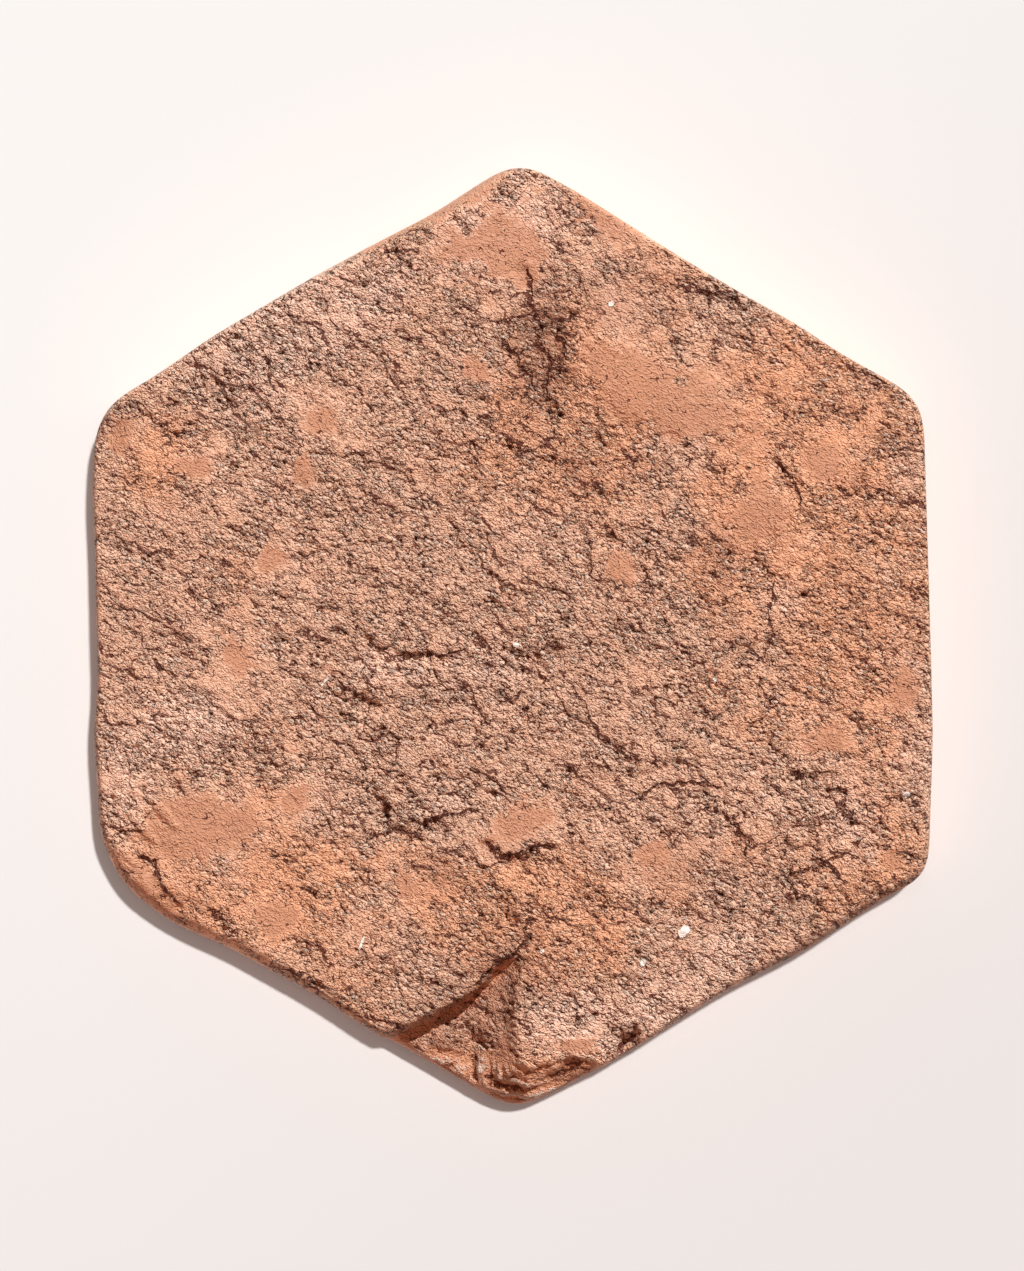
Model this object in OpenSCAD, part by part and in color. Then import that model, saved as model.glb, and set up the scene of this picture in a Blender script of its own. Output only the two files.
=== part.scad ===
/* [Size] */
// Width between opposite sides, before the wander of the hand-cut edges
across_flats = 200; // [160:5:240]
// Thickness of the slab near its rim
thickness = 20; // [14:1:30]
// How much thicker the middle is than the rim
crown = 0.8; // [0:0.1:2]

/* [Hand-cut edge] */
// How strongly the sides wander in and out, 0 for straight sides
wander = 1; // [0:0.1:1.5]
// How soft the six corners are, 1 as worn by hand
corner_softness = 1; // [0.3:0.1:1.5]
// How strongly the upper edge is rounded over
edge_wear = 1; // [0.4:0.1:1.2]
// Small rounding where the flank meets the bed
bed_round = 1.2; // [0.4:0.2:2]

/* [Damage] */
// Depth of the torn fold that runs into the lower corner
fold_depth = 5.2; // [0:0.2:6]
// Depth of the broken steps at the lower corner
chip_depth = 5.3; // [0:0.1:6]
// Strength of the hollows pressed and torn into the face
hollows = 1; // [0:0.1:1.5]

/* [Smoothness] */
// Rings of facets from the middle of the face to its rim
face_rings = 28; // [16:2:28]

/* [Hidden] */

// Every length below is for a tile 200 mm across and 20 mm thick.
unit = across_flats / 200;
rise = thickness / 20;
apothem = 100;
corner_reach = apothem / cos(30);

// The six sides, counter-clockwise from the right one. Each pair is a share of the
// side's length and how far the edge stands out from a straight side there.
side_waves = [
    [[0, 0], [0.3, 0.9], [0.6, -0.1], [1, -1.5]],
    [[0, -2.1], [0.2, -2.5], [0.3, -1.6], [0.45, -1.9], [0.6, -1.6], [0.85, -0.4], [1, -0.6]],
    [[0, -1.8], [0.2, -2.8], [0.35, -1.9], [0.5, -1.6], [0.75, -2.4], [0.9, -3.8], [1, -3.6]],
    [[0, -0.4], [0.2, 0.7], [0.3, 0], [0.6, -0.8], [0.7, 0.4], [0.85, -0.7], [1, -1.2]],
    [[0, -1.8], [0.2, 1.2], [0.3, -0.8], [0.55, -1.4], [0.65, -0.5], [0.8, -0.8], [0.9, -0.7], [1, -0.8]],
    [[0, 0.3], [0.2, 0.9], [0.3, 1], [0.4, 0.2], [0.55, -0.2], [0.7, 1], [0.9, -0.4], [1, 0.3]]
];
// Softness of the corner after each side, from the one at 30 degrees
corner_soft = [7, 7.5, 8.5, 4, 6, 5];
// The lower left corner is struck off along a short line: its direction, reach and softness
struck_corner = [207, 110.5, 2];

// How the upper edge falls away round the rim: direction, width of the rounding, and its
// depth as a share of the thickness. The upper left flank leans outward as it goes down.
edge_fall = [
    [0, 2, 0.12], [60, 2, 0.14], [88, 2.5, 0.2], [97, 5.5, 0.6], [108, 5.8, 0.65],
    [122, 3.6, 0.5], [134, 2, 0.16], [150, 3, 0.2], [180, 2, 0.12], [205, 4, 0.25],
    [220, 5.5, 0.3], [250, 4.5, 0.25], [262, 3, 0.3], [280, 3, 0.3], [295, 3.4, 0.22],
    [325, 4, 0.22], [345, 2.4, 0.14], [360, 2, 0.12]
];

// The torn fold: the line of its ledge, high above the line and low below it, and the crest
// on its right where the floor has climbed back up to the face
fold_ledge = [
    [-40, -103], [-34, -97.5], [-28, -94.2], [-19, -90.3], [-10.3, -85.5], [-5.5, -81.5],
    [-3.9, -79.1], [1, -75.4], [6, -74]
];
fold_crest = [[-112, 2], [-102.6, 1.7], [-94.6, 1], [-88, 2], [-78.6, 2.6], [-72, 2.6]];
fold_wall = 3;
fold_run = 12;
fold_rise_power = 0.8;           // under 1, so that the floor meets the crest in a sharp ridge

// The broken lower corner: the line of its lip, with the clay below it broken off in steps
chip_lip = [
    [-34, -102], [-24, -98.3], [-16, -99], [-8, -100.6], [-2, -102.6], [1.7, -102.6],
    [4.1, -104], [8.8, -102.5], [13.6, -100.9], [17.7, -101.3], [20.8, -102.7], [27, -107]
];
// Its steps: distance from the lip, width, share of the depth
chip_steps = [[0, 1.3, 0.28], [2.6, 1.6, 0.23], [5, 1.6, 0.23], [7.2, 2, 0.26]];

// Hollows in the face: middle, half length, half width, turn and depth
face_hollows = [
    [[7.5, 68], 9, 5, 80, 1.8],      // the deep torn pit below the upper corner
    [[6, 83], 8, 4, 95, 1.3],
    [[8.5, 48], 14, 5, 85, 1],       // its tail towards the middle
    [[19, 47], 6, 4, -40, 0.5],
    [[49, 62], 4, 3, -30, 0.6],      // pits near the right upper corner
    [[60, 57], 5, 4, 0, 0.8],
    [[77, 65], 4, 3, 0, 0.8],
    [[81, 50], 4, 3, 60, 0.7],
    [[-97, 49], 3.5, 5, 0, 1.5],     // the pitted recess at the left upper corner
    [[-83, -1], 4, 3, 0, 0.6],
    [[-6, -12], 26, 7, 8, 0.6],      // the ragged band across the middle
    [[-31, -7], 6, 3, 0, 0.5],
    [[-18, -24], 5, 3.5, 60, 0.9],
    [[10, -29], 4, 3, 20, 0.8],
    [[-14, -44], 15, 5, 10, 0.6],
    [[-30, -42], 7, 5, 70, 0.8],
    [[18, -44], 5, 3, 0, 0.6],
    [[76, -38], 14, 5, -20, 0.6],    // along the forked crack on the right
    [[42, -36], 14, 5, 10, 0.6],
    [[66, -8], 6, 12, 20, 0.5],
    [[-80, -66], 7, 4, -55, 1.3],    // the split at the lower left corner
    [[1, -56], 10, 4, 0, 0.6],
    [[-9.8, -97.4], 2.6, 2, -20, 2], // the recess left of the lower crest
    [[-0.5, -68.5], 5.5, 2, -50, 1.4],
    [[27, -97.8], 3.6, 2.6, 40, 3.4] // a bite out of the lower right edge
];
// Swells where the clay stands up: middle, half length, half width, turn and height
face_swells = [
    [[36, 57], 26, 11, -25, 0.4],    // the trowelled plate on the upper right
    [[26, 15], 5, 5, 0, 0.4],
    [[9, 1], 8, 4, 0, 0.4],          // clods along the ragged band
    [[-33, 1], 7, 5, 0, 0.5],
    [[-19, -2], 8, 3.5, -5, 0.4],
    [[-35, -10], 8, 5, -15, 0.4],
    [[-26, -36], 6, 7, 0, 0.5],
    [[2, -45], 8, 6, 45, 0.5],
    [[45, -29], 12, 5, 5, 0.4],
    [[72, -48], 16, 9, 15, 0.3],
    [[-72, -44], 14, 9, 0, 0.4],
    [[-92, 45], 4, 4.5, 0, 0.5],
    [[-16.5, -97.5], 6, 3, 10, 1.2], // the torn lump on the floor of the fold
    [[12, -92], 12, 9, 70, 0.5]
];

// Levels of the rings down the flank: shares of the rounding, then of the height below it
edge_steps = [0.25, 0.5, 0.75, 1];
flank_levels = [0.6, 0.25];
// Rings of the rounding at the bed: shares of it inwards and upwards
bed_steps = [[0.3, 0.5], [1, 0]];
// How far the lists above are blurred: a share of a side, and degrees round the rim
wave_blur = 0.035;
fall_blur = 2;

// Small helpers
function limit(s) = min(max(s, 0), 1);
function ease(s) = let (c = limit(s)) c * c * (3 - 2 * c);
function soft_min(a, b, k) = min(a, b) - pow(max(k - abs(a - b), 0), 2) / (4 * k);
function turn_within(a) = a - 360 * floor(a / 360);
function smooth_lookup(s, list, reach) =
    (lookup(s - reach, list) + 2 * lookup(s, list) + lookup(s + reach, list)) / 4;

// Outline: the distance to the rim in a direction, from the two sides that meet there
function side_reach(k, a) =
    let (off = a - 60 * k, share = 0.5 + tan(off) / (2 * tan(30)))
    (apothem + wander * smooth_lookup(share, side_waves[k % 6], wave_blur)) / cos(off);
function struck_reach(a) = struck_corner[1] / cos(a - struck_corner[0]);
function whole_outline(a, k) =
    soft_min(side_reach(k, a), side_reach(k + 1, a), corner_soft[k] * corner_softness);
function outline_reach(a) =
    let (k = min(floor(a / 60), 5), whole = whole_outline(a, k))
    k == 3 ? soft_min(whole, struck_reach(a), struck_corner[2]) : whole;

// Rounding of the upper edge in a direction
fall_widths = [for (e = edge_fall) [e[0], e[1]]];
fall_depths = [for (e = edge_fall) [e[0], e[2]]];
function fall_width(a) = edge_wear * smooth_lookup(a, fall_widths, fall_blur);
function fall_depth(a) = edge_wear * thickness * smooth_lookup(a, fall_depths, fall_blur);

// Height of the face at a point of the 200 mm tile
function oval_share(p, oval) =
    let (d = p - oval[0], c = cos(oval[3]), s = sin(oval[3]))
    exp(-pow((d[0] * c + d[1] * s) / oval[1], 2) - pow((d[1] * c - d[0] * s) / oval[2], 2));
function ovals_at(p, ovals, i = 0) =
    i == len(ovals) ? 0 : ovals[i][4] * oval_share(p, ovals[i]) + ovals_at(p, ovals, i + 1);
function fold_at(p) =
    fold_depth * ease((lookup(p[0], fold_ledge) - p[1]) / fold_wall)
    * pow(limit((lookup(p[1], fold_crest) - p[0]) / fold_run), fold_rise_power);
function steps_at(past, i = 0) =
    i == len(chip_steps) ? 0
    : chip_steps[i][2] * ease((past - chip_steps[i][0]) / chip_steps[i][1]) + steps_at(past, i + 1);
function chip_at(p) = chip_depth * steps_at(lookup(p[0], chip_lip) - p[1]);
function crown_at(p) = crown * (1 - pow(norm(p) / corner_reach, 2));
function torn_at(p) = hollows * (ovals_at(p, face_swells) - ovals_at(p, face_hollows));
function face_height(p) = thickness + crown_at(p) + torn_at(p) - rise * max(fold_at(p), chip_at(p));

// Face points: rings of a triangular lattice on a regular hexagon, drawn out to the rim
rim_count = 6 * face_rings;
function hexagon_corner(s) = [cos(60 * s + 30), sin(60 * s + 30)];
function lattice_point(ring, j) =
    let (s = floor(j / ring), share = j / ring - s)
    ring / face_rings * (hexagon_corner(s) * (1 - share) + hexagon_corner(s + 1) * share);
function direction_of(p) = turn_within(atan2(p[1], p[0]));
function face_point(ring, j) =
    let (
        a = direction_of(lattice_point(ring, j)),
        reach = ring / face_rings * (outline_reach(a) - fall_width(a)),
        p = reach * [cos(a), sin(a)]
    )
    [p[0] * unit, p[1] * unit, face_height(p)];
face_points = [
    [0, 0, face_height([0, 0])],
    for (ring = [1:face_rings]) for (j = [0:6 * ring - 1]) face_point(ring, j)
];

// Flank points: the rounding, the flank and the small rounding at the bed, ring by ring
rim_directions = [for (j = [0:rim_count - 1]) direction_of(lattice_point(face_rings, j))];
rim_heights = [for (j = [0:rim_count - 1]) face_point(face_rings, j)[2]];
function flank_point(a, inset, z) =
    let (reach = (outline_reach(a) - inset) * unit)
    [reach * cos(a), reach * sin(a), z];
function foot_height(j) = rim_heights[j] - fall_depth(rim_directions[j]);
flank_points = [
    for (u = edge_steps) for (j = [0:rim_count - 1])
        let (a = rim_directions[j], inset = fall_width(a) * (1 - sin(90 * u)))
        flank_point(a, inset, rim_heights[j] - fall_depth(a) * (1 - cos(90 * u))),
    for (share = flank_levels) for (j = [0:rim_count - 1])
        flank_point(rim_directions[j], 0, share * foot_height(j)),
    for (s = bed_steps) for (j = [0:rim_count - 1])
        flank_point(rim_directions[j], bed_round * s[0], bed_round * s[1])
];

// Faces, clockwise when looked at from outside
function ring_start(ring) = ring == 0 ? 0 : 1 + 3 * ring * (ring - 1);
function ring_index(ring, j) = ring == 0 ? 0 : ring_start(ring) + j % (6 * ring);
face_triangles = [
    for (ring = [1:face_rings]) for (s = [0:5]) for (k = [0:ring - 1])
        [
            ring_index(ring, s * ring + k + 1),
            ring_index(ring, s * ring + k),
            ring_index(ring - 1, s * (ring - 1) + k)
        ],
    for (ring = [2:face_rings]) for (s = [0:5]) for (k = [0:ring - 2])
        [
            ring_index(ring, s * ring + k + 1),
            ring_index(ring - 1, s * (ring - 1) + k),
            ring_index(ring - 1, s * (ring - 1) + k + 1)
        ]
];
flank_rings = len(edge_steps) + len(flank_levels) + len(bed_steps);
function flank_index(ring, j) = ring_start(face_rings) + ring * rim_count + j % rim_count;
flank_triangles = [
    for (ring = [0:flank_rings - 1]) for (j = [0:rim_count - 1]) each [
        [flank_index(ring, j), flank_index(ring, j + 1), flank_index(ring + 1, j)],
        [flank_index(ring, j + 1), flank_index(ring + 1, j + 1), flank_index(ring + 1, j)]
    ]
];
bed_face = [for (j = [0:rim_count - 1]) flank_index(flank_rings, j)];

module tile() {
    color([0.74, 0.54, 0.43])
        polyhedron(points = concat(face_points, flank_points),
                   faces = concat(face_triangles, flank_triangles, [bed_face]), convexity = 4);
}

tile();
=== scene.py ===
import math

import bpy
import numpy as np
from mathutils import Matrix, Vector
from mathutils.bvhtree import BVHTree


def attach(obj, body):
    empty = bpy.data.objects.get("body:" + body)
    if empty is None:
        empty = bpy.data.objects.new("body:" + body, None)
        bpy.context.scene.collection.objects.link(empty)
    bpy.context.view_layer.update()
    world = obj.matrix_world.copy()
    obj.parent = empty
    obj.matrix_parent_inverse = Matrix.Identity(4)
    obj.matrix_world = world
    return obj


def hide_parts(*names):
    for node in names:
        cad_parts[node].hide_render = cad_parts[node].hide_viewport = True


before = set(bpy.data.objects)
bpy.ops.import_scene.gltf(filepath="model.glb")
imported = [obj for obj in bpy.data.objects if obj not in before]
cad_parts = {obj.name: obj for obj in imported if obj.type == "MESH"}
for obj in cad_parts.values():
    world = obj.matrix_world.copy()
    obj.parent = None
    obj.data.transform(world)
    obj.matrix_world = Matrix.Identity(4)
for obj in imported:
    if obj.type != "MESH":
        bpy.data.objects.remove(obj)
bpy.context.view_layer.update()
mm = 0.001


# a wire is one output socket, and python sums on wires add nodes
class Wire:
    def __init__(self, tree, socket=None):
        self.tree = tree
        self.socket = socket

    def node(self, kind, settings=None, values=None, out=0):
        made = self.tree.nodes.new(kind)
        for name, value in (settings or {}).items():
            setattr(made, name, value)
        for name, value in (values or {}).items():
            socket = made.inputs[name]
            if isinstance(value, Wire):
                self.tree.links.new(value.socket, socket)
            else:
                socket.default_value = value
        return Wire(self.tree, made.outputs[out])

    def sibling(self, out):
        # another output of the node that this wire comes from
        return Wire(self.tree, self.socket.node.outputs[out])

    def sums(self, operation, *terms):
        isVector = any(isinstance(t, Wire) and t.socket.type == "VECTOR" for t in terms)
        kind = "ShaderNodeVectorMath" if isVector else "ShaderNodeMath"
        values = {}
        for slot, term in enumerate(terms):
            if isVector and isinstance(term, (int, float)):
                term = (term, term, term)
            values[slot] = term
        return self.node(kind, {"operation": operation}, values)

    def __add__(self, other):
        return self.sums("ADD", self, other)

    def __radd__(self, other):
        return self.sums("ADD", other, self)

    def __sub__(self, other):
        return self.sums("SUBTRACT", self, other)

    def __rsub__(self, other):
        return self.sums("SUBTRACT", other, self)

    def __mul__(self, other):
        return self.sums("MULTIPLY", self, other)

    def __rmul__(self, other):
        return self.sums("MULTIPLY", other, self)

    def __neg__(self):
        return self.sums("MULTIPLY", self, -1)

    def __abs__(self):
        return self.sums("ABSOLUTE", self)

    def least(self, other):
        return self.sums("MINIMUM", self, other)

    def most(self, other):
        return self.sums("MAXIMUM", self, other)

    def step(self, low, high, toLow=0.0, toHigh=1.0):
        # eases from toLow to toHigh as the wire goes from low to high
        return self.node("ShaderNodeMapRange", {"interpolation_type": "SMOOTHSTEP"}, {
            "Value": self, "From Min": low, "From Max": high, "To Min": toLow, "To Max": toHigh})

    def between(self, first, second):
        # the wire is the share of the second value
        return first + (second - first) * self

    def mixed(self, first, second):
        # the wire is the share of the second colour
        return self.node("ShaderNodeMix", {"data_type": "RGBA", "clamp_factor": True}, {
            0: self, 6: first, 7: second}, 2)

    def noise(self, place, size, detail=2.0, roughness=0.5, seed=0.0):
        # fractal noise round 0, most of it between -2 and 2, features about size millimetres across
        shifted = place + (seed * 13.7, seed * 7.3, seed * 3.9)
        fac = self.node("ShaderNodeTexNoise", {}, {
            "Vector": shifted, "Scale": 1.0 / size, "Detail": detail, "Roughness": roughness})
        return (fac - 0.5) * 11.5

    def noiseVector(self, place, size, detail=1.0, seed=0.0):
        shifted = place + (seed * 13.7, seed * 7.3, seed * 3.9)
        colour = self.node("ShaderNodeTexNoise", {}, {
            "Vector": shifted, "Scale": 1.0 / size, "Detail": detail}, "Color")
        return colour.node("ShaderNodeVectorMath", {"operation": "SUBTRACT"}, {0: colour, 1: (0.5, 0.5, 0.5)})

    def cells(self, place, size, out="Distance"):
        return self.node("ShaderNodeTexVoronoi", {"feature": "F1"}, {
            "Vector": place, "Scale": 1.0 / size, "Randomness": 1.0}, out)


# the tile's form, in millimetres of the real tile

tileForm = {
    "crown": 0.8,
    "thickness": 20.0,
    "cornerReach": 115.47,
    "bedRound": 1.2,
    "bedInset": 1.5,
    # height at which the outline is taken from the frame's own tile
    "rimLevel": 5.0,
    # share of the widths below that is rounded off
    "edgeCrisp": 0.5,
    # direction, width of the rounded upper edge, its depth as a share of the thickness
    "edgeFall": [
        (0, 2, 0.12), (60, 2, 0.14), (87, 2.5, 0.2), (93, 8, 0.5), (100, 9, 0.6), (109, 7, 0.62),
        (122, 4, 0.5), (134, 2.2, 0.16), (150, 3, 0.2), (180, 2, 0.12), (205, 4, 0.25),
        (218, 9, 0.3), (232, 8, 0.3), (250, 5.5, 0.25), (262, 3, 0.3), (280, 3, 0.3), (295, 3.4, 0.22),
        (312, 5, 0.22), (325, 8, 0.26), (336, 7, 0.22), (346, 2.6, 0.14), (360, 2, 0.12)],
    # the torn fold at the lower corner: ledge line, and the crest where the floor is up again
    "foldDepth": 5.2,
    "foldLedge": [(-40, -103), (-34, -97.5), (-28, -94.2), (-19, -90.3), (-10.3, -85.5), (-5.5, -81.5),
                  (-3.9, -79.1), (1, -75.4), (6, -74)],
    "foldCrest": [(-112, 2), (-102.6, 1.7), (-94.6, 1), (-88, 2), (-78.6, 2.6), (-72, 2.6)],
    "foldWall": 3.0,
    "foldRun": 12,
    # the broken step below it
    "chipLip": [(-34, -102), (-24, -98.3), (-16, -99), (-8, -100.6), (-2, -102.6), (1.7, -102.6), (4.1, -104),
                (8.8, -102.5), (13.6, -100.9), (17.7, -101.3), (20.8, -102.7), (27, -107)],
    # its steps: distance from the lip, width, depth
    "chipSteps": [(0, 1.0, 1.2), (1.0, 6.2, 2.4), (7.0, 2.0, 1.7)],
    # hollows pressed and torn into the face: middle, half length, half width, turn, depth
    "hollows": [
        (7.5, 68, 9, 5, 80, 1.8), (6, 83, 8, 4, 95, 1.3), (8.5, 48, 14, 5, 85, 1),
        (19, 47, 6, 4, -40, 0.5), (49, 62, 4, 3, -30, 0.6), (60, 57, 5, 4, 0, 0.8), (77, 65, 4, 3, 0, 0.8),
        (81, 50, 4, 3, 60, 0.7), (-97, 49, 3.5, 5, 0, 1.5), (-83, -1, 4, 3, 0, 0.6),
        (-6, -12, 26, 7, 8, 0.6), (-31, -7, 6, 3, 0, 0.5), (-18, -24, 5, 3.5, 60, 0.9),
        (10, -29, 4, 3, 20, 0.8), (-14, -44, 15, 5, 10, 0.6), (-30, -42, 7, 5, 70, 0.8),
        (18, -44, 5, 3, 0, 0.6), (76, -38, 14, 5, -20, 0.6), (42, -36, 14, 5, 10, 0.6),
        (66, -8, 6, 12, 20, 0.5), (-80, -66, 7, 4, -55, 1.3), (1, -56, 10, 4, 0, 0.6),
        (-9.8, -97.4, 2.6, 2, -20, 1.2), (-0.5, -68.5, 5.5, 2, -50, 1.4), (27, -97.8, 3.6, 2.6, 40, 3.4)],
    # swells, written in the same way with their height last
    "swells": [
        (36, 57, 26, 11, -25, 0.4), (26, 15, 5, 5, 0, 0.4), (9, 1, 8, 4, 0, 0.4), (-33, 1, 7, 5, 0, 0.5),
        (-19, -2, 8, 3.5, -5, 0.4), (-35, -10, 8, 5, -15, 0.4), (-26, -36, 6, 7, 0, 0.5),
        (2, -45, 8, 6, 45, 0.5), (45, -29, 12, 5, 5, 0.4), (72, -48, 16, 9, 15, 0.3),
        (-72, -44, 14, 9, 0, 0.4), (-92, 45, 4, 4.5, 0, 0.5), (-16.5, -97.5, 6, 3, 10, 1.2),
        (12, -92, 12, 9, 70, 0.5), (1.9, -92, 10, 2.6, 91, 1.5)],
    # rings of points in each part of the skin
    "faceRings": 156,
    "bedRings": 39,
    "edgeRings": 8,
    "flankRings": 11,
    "footRings": 3,
}


def ease(share):
    share = np.clip(share, 0, 1)
    return share * share * (3 - 2 * share)


def alongTable(value, rows, column):
    places = [row[0] for row in rows]
    return np.interp(value, places, [row[column] for row in rows])


def ovalShare(x, y, middleX, middleY, halfLength, halfWidth, turn):
    c = math.cos(math.radians(turn))
    s = math.sin(math.radians(turn))
    along = ((x - middleX) * c + (y - middleY) * s) / halfLength
    across = ((y - middleY) * c - (x - middleX) * s) / halfWidth
    return np.exp(-along ** 2 - across ** 2)


def faceHeight(x, y):
    form = tileForm
    height = form["thickness"] + form["crown"] * (1 - (np.hypot(x, y) / form["cornerReach"]) ** 2)
    for *oval, depth in form["hollows"]:
        height = height - depth * ovalShare(x, y, *oval)
    for *oval, rise in form["swells"]:
        height = height + rise * ovalShare(x, y, *oval)
    fold = form["foldDepth"] * ease((alongTable(x, form["foldLedge"], 1) - y) / form["foldWall"])
    fold = fold * np.clip((alongTable(y, form["foldCrest"], 1) - x) / form["foldRun"], 0, 1) ** 0.8
    past = alongTable(x, form["chipLip"], 1) - y
    chip = sum(depth * ease((past - start) / width) for start, width, depth in form["chipSteps"])
    return height - np.maximum(fold, chip)


def belowLedge(x, y):
    return (alongTable(x, tileForm["foldLedge"], 1) - y) / tileForm["foldWall"]


def wallShare(x, y):
    # the steep wall under the ledge of the fold
    below = belowLedge(x, y)
    return ease(below * 4) * ease((1.8 - below) * 2) * ease((4 - x) / 6)


def slopeShare(x, y):
    # the fold's floor and the slope up from it to the crest
    return ease(belowLedge(x, y)) * ease((alongTable(y, tileForm["foldCrest"], 1) - x) / 2.5)


def brokenShare(x, y):
    # where the clay under the lip is broken open, so that its layers show
    chip = ease((alongTable(x, tileForm["chipLip"], 1) - y) / 1.0) * ease((y + 96) / -3)
    return np.maximum(np.maximum(chip, wallShare(x, y) * 0.4), slopeShare(x, y) * 0.3)


def rimReach(steps):
    # how far the frame's own tile reaches in evenly spaced directions, smoothed over its flat facets
    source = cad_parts["tile"].data
    tree = BVHTree.FromPolygons([v.co[:] for v in source.vertices], [p.vertices[:] for p in source.polygons])
    level = Vector((0, 0, tileForm["rimLevel"] * mm))
    farOut = 2 * tileForm["cornerReach"] * mm
    reach = []
    for step in range(steps):
        angle = 2 * math.pi * step / steps
        outward = Vector((math.cos(angle), math.sin(angle), 0))
        hit = tree.ray_cast(outward * farOut + level, -outward)[0]
        reach.append(hit.xy.length / mm)
    reach = np.array(reach)
    for _ in range(10):
        reach = (np.roll(reach, 1) + 2 * reach + np.roll(reach, -1)) / 4
    return reach


reachTable = rimReach(720)


def reachAt(angles):
    turns = np.linspace(0, 1, len(reachTable) + 1)
    return np.interp(angles / (2 * math.pi) % 1, turns, [*reachTable, reachTable[0]])


def latticeRing(ring, rings):
    # points of one ring of a triangular lattice on a hexagon of reach 1, counter-clockwise
    turns = np.radians(60 * np.arange(7) + 30)
    corners = np.stack([np.cos(turns), np.sin(turns)], axis=1)
    if ring == 0:
        return np.zeros((1, 2))
    share = np.arange(ring) / ring
    sides = [corners[s] * (1 - share[:, None]) + corners[s + 1] * share[:, None] for s in range(6)]
    return np.concatenate(sides) * ring / rings


def ringStart(ring):
    return 0 if ring == 0 else 1 + 3 * ring * (ring - 1)


def latticeFaces(rings, first):
    faces = []
    for ring in range(1, rings + 1):
        outer = ringStart(ring)
        inner = ringStart(ring - 1)
        innerCount = max(6 * (ring - 1), 1)
        for s in range(6):
            for k in range(ring):
                a = outer + s * ring + k
                b = outer + (s * ring + k + 1) % (6 * ring)
                c = inner + (s * (ring - 1) + k) % innerCount
                faces.append((first + a, first + b, first + c))
                if k < ring - 1:
                    d = inner + (s * (ring - 1) + k + 1) % innerCount
                    faces.append((first + b, first + d, first + c))
    return faces


def bandFaces(firstRing, secondRing, count, ratio=1):
    # joins two closed rings; the second has one point for every ratio points of the first
    faces = []
    for j in range(count):
        inner = secondRing + j // ratio
        nextInner = secondRing + (j // ratio + 1) % (count // ratio)
        a = firstRing + j
        b = firstRing + (j + 1) % count
        faces.append((a, inner, b))
        if (j + 1) % ratio == 0:
            faces.append((b, inner, nextInner))
    return faces


def buildTileForm():
    form = tileForm
    rings = form["faceRings"]
    count = 6 * rings
    rim = latticeRing(rings, rings)
    rimAngles = np.arctan2(rim[:, 1], rim[:, 0])

    def edgeWidth(angles):
        return alongTable(np.degrees(angles) % 360, form["edgeFall"], 1) * form["edgeCrisp"]

    def edgeDepth(angles):
        return form["thickness"] * alongTable(np.degrees(angles) % 360, form["edgeFall"], 2)

    parts = []
    for ring in range(rings + 1):
        flat = latticeRing(ring, rings)
        angles = np.arctan2(flat[:, 1], flat[:, 0])
        reach = ring / rings * (reachAt(angles) - edgeWidth(angles))
        x = reach * np.cos(angles)
        y = reach * np.sin(angles)
        parts.append(np.stack([x, y, faceHeight(x, y)], axis=1))
    reach = reachAt(rimAngles)
    width = edgeWidth(rimAngles)
    depth = edgeDepth(rimAngles)

    def ringAt(inset, z):
        x = (reach - inset) * np.cos(rimAngles)
        y = (reach - inset) * np.sin(rimAngles)
        return np.stack([x, y, z + 0 * x], axis=1)

    def faceAt(inset):
        x = (reach - inset) * np.cos(rimAngles)
        y = (reach - inset) * np.sin(rimAngles)
        return faceHeight(x, y)

    for k in range(1, form["edgeRings"] + 1):
        turn = math.radians(90 * k / form["edgeRings"])
        inset = width * (1 - math.sin(turn))
        parts.append(ringAt(inset, faceAt(inset) - depth * (1 - math.cos(turn))))
    footHeight = parts[-1][:, 2]
    for k in range(1, form["flankRings"] + 1):
        share = 1 - k / form["flankRings"]
        parts.append(ringAt(0, form["bedRound"] + (footHeight - form["bedRound"]) * share))
    for k in range(1, form["footRings"] + 1):
        turn = math.radians(90 * k / form["footRings"])
        rounding = form["bedRound"]
        parts.append(ringAt(rounding * (1 - math.cos(turn)), rounding * (1 - math.sin(turn))))
    bedFirst = sum(len(p) for p in parts)
    bedRings = form["bedRings"]
    for ring in range(bedRings + 1):
        flat = latticeRing(ring, bedRings)
        angles = np.arctan2(flat[:, 1], flat[:, 0])
        reachBed = ring / bedRings * (reachAt(angles) - form["bedRound"] - form["bedInset"])
        parts.append(np.stack([reachBed * np.cos(angles), reachBed * np.sin(angles), 0 * angles], axis=1))

    faces = latticeFaces(rings, 0)
    bands = form["edgeRings"] + form["flankRings"] + form["footRings"]
    firstBand = ringStart(rings)
    for band in range(bands):
        faces += bandFaces(firstBand + band * count, firstBand + (band + 1) * count, count)
    ratio = rings // bedRings
    lastBand = firstBand + bands * count
    faces += bandFaces(lastBand, bedFirst + ringStart(bedRings), count, ratio)
    faces += [face[::-1] for face in latticeFaces(bedRings, bedFirst)]
    return np.concatenate(parts), faces, bedFirst


points, faces, bedFirst = buildTileForm()
print("tile form:", len(points), "points,", len(faces), "faces")


# what was done to the face by hand and by wear, placed in millimetres

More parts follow.
